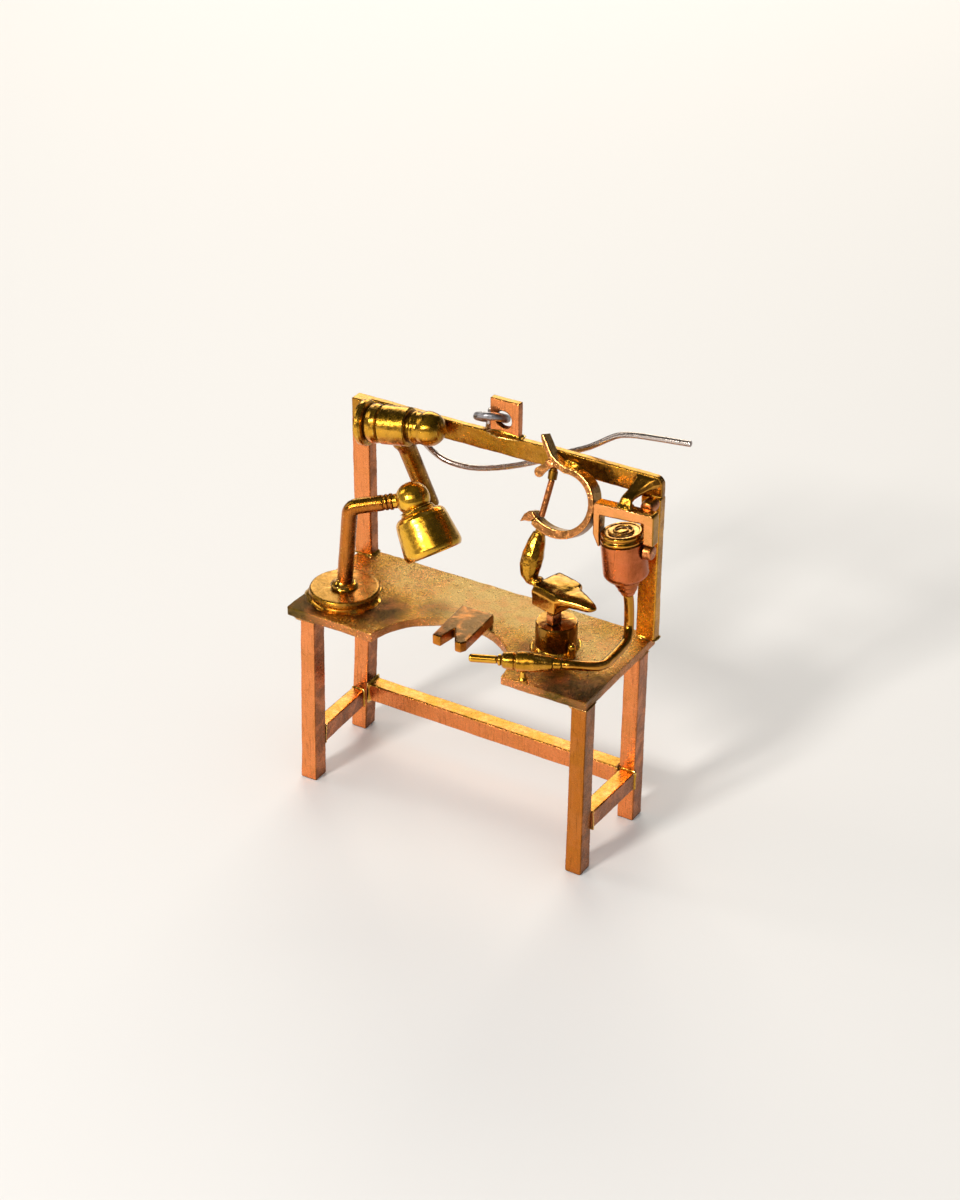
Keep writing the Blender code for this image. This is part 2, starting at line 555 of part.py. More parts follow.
def make_motor():
    upright = ((0, 0, 0), (1, 0, 0), (0, 0, 1), (0, 1, 0))
    yoke = [(13.72, 33.7), (13.45, 33.72), (12.82, 35.1), (12.8, 38.45), (13.0, 38.78), (19.6, 39.05),
            (19.82, 38.85), (19.86, 35.42), (18.68, 35.42), (18.66, 37.8), (13.6, 37.45), (13.6, 35.2)]
    soften(plate("motor_yoke", yoke, YOKE_FRONT, YOKE_BACK, ROSE, 0.3, upright), 0.1)
    sections = (
        (15.55, 18.85, (RAIL_FRONT - FILM, 40.15), (RAIL_FRONT - FILM, 41.55)),
        (15.85, 18.3, (6.35, 40.2), (6.55, 41.35)),
        (15.75, 17.5, (5.65, 39.75), (5.95, 40.75)),
        (15.62, 16.95, (4.95, 39.4), (5.2, 40.25)),
        (15.5, 16.95, (4.35, 39.25), (4.25, 39.95)),
    )
    rings = []
    for x0, x1, (y0, z0), (y1, z1) in sections:
        edge = 0.12 * (x1 - x0)
        rings.append([(x0 + edge, y0, z0), (x1 - edge, y0, z0), (x1, (y0 + y1) / 2, (z0 + z1) / 2),
                      (x1 - edge, y1, z1), (x0 + edge, y1, z1), (x0, (y0 + y1) / 2, (z0 + z1) / 2)])
    rings.append([(15.5, 4.62, 38.93), (17.05, 4.62, 38.99), (17.2, 4.1, 39.0), (17.05, 3.6, 38.99),
                  (15.5, 3.6, 38.93), (15.35, 4.1, 38.92)])
    lofted("motor_hanger", rings, BRASS, 0.2)
    turned("yoke_spacer", [(0, 0), (0.6, 0), (0.78, 0.2), (0.8, 1.2), (0.72, 1.76), (0, 1.76)],
           (18.25, YOKE_BACK + FILM, 38.85), (0, 1, 0), ROSE, 0.3, 18)

    centre, axis = np.asarray(MOTOR_CENTRE), unit(MOTOR_AXIS)
    r = MOTOR_RADIUS
    turned("motor_body", [(0, -2.95), (1.5, -2.95), (1.95, -2.8), (r - 0.1, -2.4), (r, -2.1), (r, 1.55),
                          (r - 0.12, 1.62), (0, 1.62)], centre, axis, ROSE, 0.3, 36)
    cap = centre + (1.62 + FILM) * axis
    turned("motor_cap", [(0, 0), (2.25, 0), (2.38, 0.12), (2.38, 0.34), (2.2, 0.44), (2.15, 0.6),
                         (2.28, 0.72), (2.26, 0.95), (2.1, 1.08), (1.85, 1.08), (1.75, 0.98), (0, 0.98)],
           cap, axis, BRIGHT, 0.1, 36)
    first, second = across(axis)
    spiral = []
    for j in range(25):
        turn = math.radians(200 + 24 * j)
        radius = 1.45 - 0.9 * j / 24
        spiral.append(cap + (0.98 + FILM + 0.13) * axis
                      + radius * (math.cos(turn) * first + math.sin(turn) * second))
    tube("motor_coil", spiral, 0.13, BRASS, 0.25, 8)
    nose = centre - (2.95 + FILM) * axis
    turned("motor_nozzle", [(0, 0), (1.36, 0), (1.38, 0.12), (1.3, 0.6), (1.1, 0.68), (1.04, 1.15),
                            (0.86, 1.32), (0.7, 1.75), (0, 1.75)], nose, -axis, ROSE, 0.25, 28)
    turned("motor_trunnion", [(0, 0), (0.88, 0), (0.9, 0.1), (0.74, 0.8), (0.6, 0.92), (0, 0.92)],
           (18.79, 4.1, 34.4), (1, 0, 0), ROSE, 0.3, 20)

    hand = unit(HAND_AXIS)
    tip = np.asarray(BUR_TIP)
    start, end = nose - (1.75 + FILM) * axis, tip + (9.75 + FILM) * hand
    knots = [start, start - 1.2 * axis, (17.2, 4.1, 25.0), (17.62, 2.9, 23.9), (17.72, 1.2, 23.65),
             (17.72, -0.8, 23.6), (17.68, -2.2, 23.65), (17.15, -3.6, 23.95),
             end + 1.0 * hand, end + 0.4 * hand, end]
    tube("flex_hose", smooth_path(knots, 4), HOSE_RADIUS, BRIGHT, 0.15, 14)

    turned("handpiece_bur", [(0, 0), (0.25, 0.03), (0.4, 0.14), (0.44, 0.3), (0.44, 3.0), (0, 3.0)],
           tip, hand, BRIGHT, 0.1, 16)
    turned("handpiece_ring", [(0, 0), (0.45, 0), (0.62, 0.12), (0.62, 0.3), (0.5, 0.42), (0, 0.42)],
           tip + (3.0 + FILM) * hand, hand, BRIGHT, 0.15, 20)
    turned("handpiece_body",
           [(0, 0), (0.68, 0), (0.85, 0.2), (0.93, 0.6), (0.98, 1.25), (0.86, 1.34), (0.86, 1.46),
            (1.02, 1.55), (1.08, 2.4), (1.05, 3.4), (0.93, 4.6), (0.8, 5.3), (0.72, 5.36), (0, 5.36)],
           tip + (3.42 + 2 * FILM) * hand, hand, ROSE, 0.12, 24)
    turned("handpiece_ferrule", [(0, 0), (0.66, 0), (0.68, 0.1), (0.66, 0.78), (0.58, 0.88), (0, 0.88)],
           tip + (8.78 + 3 * FILM) * hand, hand, BRIGHT, 0.15, 20)
    turned("handpiece_rest", [(0, 0), (0.55, 0), (0.36, 0.25), (0.33, 0.7), (0.3, 0.94), (0, 0.94)],
           (10.75, -7.1, TOP_Z + FILM), (0, 0, 1), BRIGHT, 0.15, 16)


def centre_on_origin():
    """Puts the middle of the whole object's footprint over the origin, with the feet at z = 0."""
    bpy.context.view_layer.update()
    graph = bpy.context.evaluated_depsgraph_get()
    low, high = np.full(3, 1e9), np.full(3, -1e9)
    for item in bpy.data.objects:
        if item.hide_render:
            continue
        mesh = item.evaluated_get(graph).to_mesh()
        points = np.array([item.matrix_world @ v.co for v in mesh.vertices])
        low, high = np.minimum(low, points.min(axis=0)), np.maximum(high, points.max(axis=0))
    shift = Vector((-(low[0] + high[0]) / 2, -(low[1] + high[1]) / 2, 0.0))
    for item in bpy.data.objects:
        item.location += shift
    bpy.context.view_layer.update()
    return shift


clear_scene()
make_bench_top()
make_legs()
make_stretchers()
make_back_frame()
make_tab()
make_ring_and_ear_wire()
make_bench_pin()
make_lamp()
make_hammer()
make_saw()
make_anvil()
make_motor()
shift = centre_on_origin()
print("moved by (mm):", [round(c / MM, 4) for c in shift])
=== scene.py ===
"""Looks for the miniature goldsmith's bench: fine surfaces, solder, brass and steel, floor and light."""

import json
import math

import bmesh
import bpy
import numpy as np
from mathutils import Matrix, Vector, kdtree, noise

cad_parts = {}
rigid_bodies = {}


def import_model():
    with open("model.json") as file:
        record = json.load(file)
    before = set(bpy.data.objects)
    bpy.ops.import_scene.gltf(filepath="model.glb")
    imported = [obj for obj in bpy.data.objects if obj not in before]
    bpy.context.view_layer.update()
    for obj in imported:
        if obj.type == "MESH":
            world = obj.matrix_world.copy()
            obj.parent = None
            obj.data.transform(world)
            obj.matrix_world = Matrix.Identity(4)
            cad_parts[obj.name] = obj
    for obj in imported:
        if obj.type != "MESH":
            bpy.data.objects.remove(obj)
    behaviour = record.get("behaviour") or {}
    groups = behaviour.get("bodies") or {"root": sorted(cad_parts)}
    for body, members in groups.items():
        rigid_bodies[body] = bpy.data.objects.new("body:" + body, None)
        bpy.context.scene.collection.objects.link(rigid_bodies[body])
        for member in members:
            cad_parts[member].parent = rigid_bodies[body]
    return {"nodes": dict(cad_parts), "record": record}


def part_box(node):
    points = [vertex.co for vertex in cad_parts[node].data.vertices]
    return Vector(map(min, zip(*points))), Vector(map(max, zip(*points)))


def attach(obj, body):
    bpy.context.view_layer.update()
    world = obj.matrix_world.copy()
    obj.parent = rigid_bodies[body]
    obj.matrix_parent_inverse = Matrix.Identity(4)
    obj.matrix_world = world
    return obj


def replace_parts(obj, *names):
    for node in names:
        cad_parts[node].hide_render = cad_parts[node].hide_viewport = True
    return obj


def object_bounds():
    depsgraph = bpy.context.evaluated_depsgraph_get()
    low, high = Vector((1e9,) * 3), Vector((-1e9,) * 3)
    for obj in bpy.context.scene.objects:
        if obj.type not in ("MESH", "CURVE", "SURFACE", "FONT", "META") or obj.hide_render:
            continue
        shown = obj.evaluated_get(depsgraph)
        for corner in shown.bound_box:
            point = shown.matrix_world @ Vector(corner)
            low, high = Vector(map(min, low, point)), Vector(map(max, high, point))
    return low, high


MM = 0.001
SOLDER_BODY, SOLDER_SLOT = "bench", "bright_brass"
# In millimetres:
GRAIN_SIZE = 0.22  # the finest bumps of a fine surface
JOINED_GROWTH = 0.08  # what a joined solid grows by, so that it fuses
RING_STEP = 0.02  # points of a turned solid that are closer than this share a ring
ROUNDING = 0.09  # the most that is cut off a turned solid's corner
# In metres:
MIDDLE = Vector((0.0, 0.0, 0.025))  # of the object, where the lamps aim
FLOOR_HALF = 3.0

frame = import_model()
cad_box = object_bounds()
BODY_OF = {n: b for b, names in frame["record"]["behaviour"]["bodies"].items() for n in names}
low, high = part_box("bench_top")
BENCH = np.array([(low.x + high.x) / 2, (low.y + high.y) / 2, 0.0]) / MM  # the bench top's middle
TOP = high.z / MM  # its upper side
RAIL_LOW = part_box("top_rail")[0].z / MM  # the rail's lower side, where the posts' looks begin


# ---------------------------------------------------------------- meshes


def cad_mesh(node):
    """Welded points (mm) and triangles of a CAD node."""
    mesh = frame["nodes"][node].data
    mesh.calc_loop_triangles()
    points = np.empty(len(mesh.vertices) * 3)
    mesh.vertices.foreach_get("co", points)
    faces = np.empty(len(mesh.loop_triangles) * 3, np.int64)
    mesh.loop_triangles.foreach_get("vertices", faces)
    points = points.reshape(-1, 3) / MM
    _, first, index = np.unique(np.round(points, 4), axis=0, return_index=True, return_inverse=True)
    return points[first], index.reshape(-1)[faces].reshape(-1, 3)


def piece(name, points, faces, look, body):
    """A new smooth-shaded piece from points in mm; it rides on its body."""
    mesh = bpy.data.meshes.new(name)
    mesh.from_pydata([tuple(p) for p in np.asarray(points) * MM], [], faces)
    mesh.validate()
    work = bmesh.new()
    work.from_mesh(mesh)
    bmesh.ops.recalc_face_normals(work, faces=work.faces)
    work.to_mesh(mesh)
    work.free()
    mesh.shade_smooth()
    made = bpy.data.objects.new(name, mesh)
    bpy.context.scene.collection.objects.link(made)
    mesh.materials.append(look)
    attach(made, body)
    return made


def cloud(name, size):
    """A cloud texture for displacing a surface; its size is in mm."""
    made = bpy.data.textures.new(name, "CLOUDS")
    made.noise_scale = size
    made.noise_depth = 3
    return made


def fine(node, look, voxel=0.07, smooth=4, wave=0.012, wave_size=1.4, grain=0.0, joined=(), zones=None):
    """The CAD solid remeshed finely, with its edges eased and a slightly uneven hand-worked surface.

    The solids of joined nodes grow into it, as soldered and filed pieces do. zones picks, for a
    face's middle in mm, which of the looks it takes.
    """
    points, faces = cad_mesh(node)
    for other in joined:
        more, its_faces = cad_mesh(other)
        more = more + (more - more.mean(axis=0)) / np.ptp(more, axis=0) * JOINED_GROWTH
        faces = np.concatenate([faces, its_faces + len(points)])
        points = np.concatenate([points, more])
    mesh = bpy.data.meshes.new(node + "_work")
    mesh.from_pydata([tuple(p) for p in points], [], [tuple(f) for f in faces.tolist()])
    work = bpy.data.objects.new(node + "_work", mesh)
    bpy.context.scene.collection.objects.link(work)
    remesh = work.modifiers.new("remesh", "REMESH")
    remesh.mode = "VOXEL"
    remesh.voxel_size = voxel
    ease = work.modifiers.new("ease", "SMOOTH")
    ease.factor = 0.5
    ease.iterations = smooth
    for label, size, strength in (("wave", wave_size, wave), ("grain", GRAIN_SIZE, grain)):
        if strength:
            push = work.modifiers.new(label, "DISPLACE")
            push.texture = cloud(node + label, size)
            push.strength = strength
            push.mid_level = 0.5
            push.texture_coords = "LOCAL"
    bpy.context.view_layer.update()
    graph = bpy.context.evaluated_depsgraph_get()
    done = bpy.data.meshes.new_from_object(work.evaluated_get(graph))
    bpy.data.objects.remove(work)
    done.transform(Matrix.Scale(MM, 4))
    done.shade_smooth()
    done.materials.clear()
    for each in look if zones else (look,):
        done.materials.append(each)
    if zones:
        for face in done.polygons:
            face.material_index = zones(*(face.center / MM))
    made = bpy.data.objects.new(node + "_fine", done)
    bpy.context.scene.collection.objects.link(made)
    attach(made, BODY_OF[node])
    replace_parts(made, node, *joined)


def rings_about(points, centre, axis):
    """Every point's ring, and each ring's mean (radius, height), for points turned about the axis."""
    heights = (points - centre) @ axis
    radii = np.linalg.norm(points - centre - heights[:, None] * axis, axis=1)
    keys, ring = np.unique(np.round(np.stack([radii, heights], 1) / RING_STEP), axis=0,
                           return_inverse=True)
    ring = ring.reshape(-1)
    means = np.array([[radii[ring == i].mean(), heights[ring == i].mean()] for i in range(len(keys))])
    return ring, means


def turning_axis(points, faces):
    """A turned solid's centre and axis: square to one of its flat ends, whichever gives the fewest rings."""
    corners = points[faces]
    normals = np.cross(corners[:, 1] - corners[:, 0], corners[:, 2] - corners[:, 0])
    areas = np.linalg.norm(normals, axis=1)
    ways, index = np.unique(np.round(normals / (areas[:, None] + 1e-12), 3), axis=0, return_inverse=True)
    biggest = np.argsort(-np.bincount(index.reshape(-1), areas))[:6]
    centre = points.mean(axis=0)
    ways = [normals[np.argmax(areas * (index.reshape(-1) == i))] for i in biggest]
    ways = [way / np.linalg.norm(way) for way in ways]
    return centre, min(ways, key=lambda way: len(rings_about(points, centre, way)[1]))


def profile_of(node):
    """A turned CAD solid's axis, and its profile as (radius, height) points in order."""
    points, faces = cad_mesh(node)
    centre, axis = turning_axis(points, faces)
    ring, rings = rings_about(points, centre, axis)
    links = {i: set() for i in range(len(rings))}
    for face in ring[faces]:
        for a in face:
            links[a] |= set(face) - {a}
    ends = [i for i in links if len(links[i]) == 1] or [int(np.argmin(rings[:, 0]))]
    order = [ends[0]]
    while True:
        ways = [i for i in links[order[-1]] if i not in order]
        if not ways:
            break
        order.append(min(ways, key=lambda i: np.linalg.norm(rings[i] - rings[order[-1]])))
    line = rings[order]
    if line[0, 0] > 0.02:
        line = np.vstack([[0.0, line[0, 1]], line])
    if line[-1, 0] > 0.02:
        line = np.vstack([line, [0.0, line[-1, 1]]])
    line[0, 0] = line[-1, 0] = 0.0
    return centre, axis, line


def square_to(axis):
    """Two directions square to the axis and to each other."""
    helper = np.array([0, 0, 1.0]) if abs(axis[2]) < 0.9 else np.array([0, 1.0, 0])
    first = np.cross(helper, axis)
    first /= np.linalg.norm(first)
    return first, np.cross(axis, first)


def eased(line, limit):
    """Corner cutting that keeps long straight runs and cuts no more than the limit off a corner."""
    for _ in range(3):
        out = [line[0]]
        for a, b in zip(line[:-1], line[1:]):
            length = np.linalg.norm(b - a)
            step = min(0.25 * length, limit)
            way = (b - a) / max(length, 1e-9)
            out += [a + step * way, b - step * way]
        out.append(line[-1])
        line = np.array(out)
    return line


def turned(node, look, sides=96, limit=ROUNDING, wobble=0.006):
    """A turned CAD solid spun again from its own profile, finely and with eased edges."""
    centre, axis, line = profile_of(node)
    line = eased(line, limit)
    first, second = square_to(axis)
    turn = np.linspace(0, 2 * math.pi, sides, endpoint=False)
    spokes = np.cos(turn)[:, None] * first + np.sin(turn)[:, None] * second
    points, faces, rings = [], [], []
    for radius, height in line:
        if radius < 1e-4:
            rings.append([len(points)])
            points.append(centre + height * axis)
            continue
        start = len(points)
        rings.append(list(range(start, start + sides)))
        for spoke in spokes:
            at = centre + height * axis + radius * spoke
            rough = wobble * noise.noise(Vector(at) * 0.9) * min(1.0, radius)
            points.append(at + rough * spoke)
    for a, b in zip(rings[:-1], rings[1:]):
        for j in range(sides):
            k = (j + 1) % sides
            if len(a) == 1 and len(b) == 1:
                continue
            if len(a) == 1:
                faces.append((a[0], b[k], b[j]))
            elif len(b) == 1:
                faces.append((a[j], a[k], b[0]))
            else:
                faces.append((a[j], a[k], b[k], b[j]))
    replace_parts(piece(node + "_fine", points, faces, look, BODY_OF[node]), node)


# A fillet's section, as shares of its width out from the wall and of its height up it.
FILLET = ((-0.06, 0.0), (-0.05, 1.0), (0.1, 0.55), (0.38, 0.22), (0.72, 0.07), (1.0, -0.02), (0.5, -0.06))


def bead(name, corners, outs, up, wide, tall, look, lumps, seed=0.0):
    """Solder fillet along a closed line: corners in mm, the way out from the wall at each, the way up it."""
    up = np.asarray(up, float)
    points, faces = [], []
    count, n = len(corners), len(FILLET)
    for corner, out in zip(corners, outs):
        at = Vector(corner)
        swell = 1.5 * noise.noise(at * 0.6 + Vector((seed, 3.1, 7.7))) + 0.25 * noise.noise(at * 1.7)
        grow = max(1 + lumps * swell, 0.3)
        for o, u in FILLET:
            points.append(np.asarray(corner) + wide * grow * o * np.asarray(out) + tall * grow * u * up)
    for i in range(count):
        for j in range(n):
            a, b = i * n + j, i * n + (j + 1) % n
            c, d = ((i + 1) % count) * n + j, ((i + 1) % count) * n + (j + 1) % n
            faces.append((a, b, d, c))
    piece(name, points, faces, look, SOLDER_BODY)


def ring_bead(name, centre, axis, radius, wide, tall, look, **more):
    """Solder round a round foot."""
    axis = np.asarray(axis, float) / np.linalg.norm(axis)
    first, second = square_to(axis)
    turns = np.linspace(0, 2 * math.pi, 72, endpoint=False)
    outs = [math.cos(t) * first + math.sin(t) * second for t in turns]
    corners = [np.asarray(centre) + radius * o for o in outs]
    bead(name, corners, outs, axis, wide, tall, look, **more)


def frame_bead(name, centre, first, second, up, half_a, half_b, wide, tall, look, **more):
    """Solder round a four-sided foot; first and second are its side directions."""
    first, second = np.asarray(first, float), np.asarray(second, float)
    corners, outs = [], []
    signs = [(1, 1), (-1, 1), (-1, -1), (1, -1)]
    for index, (sa, sb) in enumerate(signs):
        for turn in np.linspace(0, math.pi / 2, 4):
            angle = math.pi / 2 * index + turn
            outs.append(math.cos(angle) * first + math.sin(angle) * second)
            corners.append(np.asarray(centre) + sa * half_a * first + sb * half_b * second)
        na, nb = signs[(index + 1) % 4]
        out = outs[-1]
        for s in np.linspace(0, 1, 9)[1:-1]:
            a = sa + (na - sa) * s
            b = sb + (nb - sb) * s
            corners.append(np.asarray(centre) + a * half_a * first + b * half_b * second)
            outs.append(out)
    bead(name, corners, outs, up, wide, tall, look, **more)


def blob(name, centre, radii, look):
    """A small uneven lump of solder, sized in mm."""
    work = bmesh.new()
    bmesh.ops.create_icosphere(work, subdivisions=4, radius=1.0)
    points = []
    for vertex in work.verts:
        way = vertex.co.normalized()
        swell = 1 + 0.22 * (noise.noise(way * 1.3) + 0.4 * noise.noise(way * 3.1))
        points.append([c + r * w * swell for c, r, w in zip(centre, radii, way)])
    faces = [[v.index for v in face.verts] for face in work.faces]
    work.free()
    piece(name, points, faces, look, SOLDER_BODY)


def sides_of(node):
    """Lowest and highest corners of a CAD node, in mm."""
    low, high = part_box(node)
    return np.array(low) / MM, np.array(high) / MM


def between(node, other):
    """The middle of the place where the fine pieces of two CAD nodes come closest, in mm."""
    spots = [v.co / MM for v in bpy.data.objects[other + "_fine"].data.vertices]
    tree = kdtree.KDTree(len(spots))
    for index, spot in enumerate(spots):
        tree.insert(spot, index)
    tree.balance()
    pairs = []
    for vertex in list(bpy.data.objects[node + "_fine"].data.vertices)[::3]:
        at = vertex.co / MM
        spot, _, gap = tree.find(at)
        pairs.append((gap, (at + spot) / 2))
    least = min(gap for gap, _ in pairs)
    close = [spot for gap, spot in pairs if gap < least + 0.35]
    return np.array(sum(close, Vector()) / len(close))


def foot_bead(name, node, up, wide, tall, look, **more):
    """Solder round the end of an upright bar; up is 1 for its lower end and -1 for its upper end."""
    low, high = sides_of(node)
    z = low[2] if up > 0 else high[2]
    centre = ((low[0] + high[0]) / 2, (low[1] + high[1]) / 2, z)
    half = (high - low) / 2
    frame_bead(name, centre, (1, 0, 0), (0, 1, 0), (0, 0, up), half[0] - 0.05, half[1] - 0.05,
               wide, tall, look, **more)


def end_bead(name, node, axis, sign, wide, tall, look, **more):
    """Solder round the end of a lying bar that runs along X (axis 0) or Y (axis 1)."""
    points, _ = cad_mesh(node)
    edge = points[:, axis].max() if sign > 0 else points[:, axis].min()
    near = points[np.abs(points[:, axis] - edge) < 0.2]
    low, high = near.min(axis=0), near.max(axis=0)
    centre = (low + high) / 2
    centre[axis] = edge
    other = 1 - axis
    first = np.eye(3)[other]
    up = -sign * np.eye(3)[axis]
    half = (high - low) / 2
    frame_bead(name, centre, first, (0, 0, 1), up, half[other] - 0.04, half[2] - 0.04,
               wide, tall, look, **more)


# ---------------------------------------------------------------- looks


class Look:
    """A procedural metal, built node by node. Texture coordinates are millimetres in the part's frame."""

    def __init__(self, name):
        self.material = bpy.data.materials.new(name)
        self.material.use_nodes = True
        self.tree = self.material.node_tree
        self.shader = self.tree.nodes["Principled BSDF"]
        self.shader.inputs["Metallic"].default_value = 1.0
        coords = self.node("ShaderNodeTexCoord")
        scale = self.node("ShaderNodeVectorMath", operation="SCALE")
        scale.inputs["Scale"].default_value = 1000.0
        self.link(coords.outputs["Object"], scale.inputs[0])
        self.mm = scale.outputs[0]
        self.geometry = self.node("ShaderNodeNewGeometry")

    def node(self, kind, **settings):
        made = self.tree.nodes.new(kind)
        for key, value in settings.items():
            setattr(made, key, value)
        return made

    def link(self, a, b):
        self.tree.links.new(a, b)

    def stretched(self, scale):
        mapping = self.node("ShaderNodeMapping")
        mapping.inputs["Scale"].default_value = scale
        self.link(self.mm, mapping.inputs["Vector"])
        return mapping.outputs[0]

    def noise(self, scale, detail=4.0, rough=0.55, coords=None, warp=0.0):
        made = self.node("ShaderNodeTexNoise")
        made.inputs["Scale"].default_value = scale
        made.inputs["Detail"].default_value = detail
        made.inputs["Roughness"].default_value = rough
        made.inputs["Distortion"].default_value = warp
        self.link(coords or self.mm, made.inputs["Vector"])
        return made.outputs["Fac"]

    def ramp(self, value, low, high, out_low=0.0, out_high=1.0):
        made = self.node("ShaderNodeMapRange", interpolation_type="SMOOTHSTEP")
        for key, number in zip(("From Min", "From Max", "To Min", "To Max"), (low, high, out_low, out_high)):
            made.inputs[key].default_value = number
        self.link(value, made.inputs["Value"])
        return made.outputs["Result"]

    def feed(self, socket, value):
        """Sets a socket to a number or a colour, or links another node's output to it."""
        if isinstance(value, bpy.types.NodeSocket):
            self.link(value, socket)
        else:
            socket.default_value = (*value, 1.0) if isinstance(value, tuple) else value

    def math(self, operation, a, b):
        made = self.node("ShaderNodeMath", operation=operation)
        self.feed(made.inputs[0], a)
        self.feed(made.inputs[1], b)
        return made.outputs[0]

    def mix(self, factor, a, b):
        made = self.node("ShaderNodeMix", data_type="RGBA")
        for key, value in (("Factor_Float", factor), ("A_Color", a), ("B_Color", b)):
            self.feed(next(s for s in made.inputs if s.identifier == key), value)
        return next(s for s in made.outputs if s.identifier == "Result_Color")

    def over(self, colour, shade, mask, amount):
        """The colour with a shade laid over it, by the amount, where the mask is 1."""
        return self.mix(self.math("MULTIPLY", mask, amount), colour, shade)

    def axis(self, index):
        split = self.node("ShaderNodeSeparateXYZ")
        self.link(self.geometry.outputs["Normal"], split.inputs[0])
        return split.outputs[index]

    def near(self, x, y, reach):
        """1 round a place on the bench, in mm from its middle, fading unevenly to 0 at the reach."""
        shift = self.node("ShaderNodeVectorMath", operation="SUBTRACT")
        self.link(self.mm, shift.inputs[0])
        shift.inputs[1].default_value = (BENCH[0] + x, BENCH[1] + y, TOP)
        size = self.node("ShaderNodeVectorMath", operation="LENGTH")
        self.link(shift.outputs[0], size.inputs[0])
        ragged = self.math("MULTIPLY", self.noise(0.5, 4.0, 0.65), 0.9 * reach)
        return self.ramp(self.math("ADD", size.outputs["Value"], ragged), 0.75 * reach, 1.5 * reach, 1.0, 0.0)

    def bump(self, height, strength, distance_mm, normal=None):
        made = self.node("ShaderNodeBump")
        made.inputs["Strength"].default_value = strength
        made.inputs["Distance"].default_value = distance_mm * MM
        self.link(height, made.inputs["Height"])
        if normal is not None:
            self.link(normal, made.inputs["Normal"])
        return made.outputs["Normal"]

    def crevice(self, reach_mm, low, high):
        """1 in the open, 0 where surfaces meet."""
        made = self.node("ShaderNodeAmbientOcclusion", samples=6)
        made.inputs["Distance"].default_value = reach_mm * MM
        return self.ramp(made.outputs["AO"], low, high)


def dimmed(colour, share):
    return tuple(share * c for c in colour)


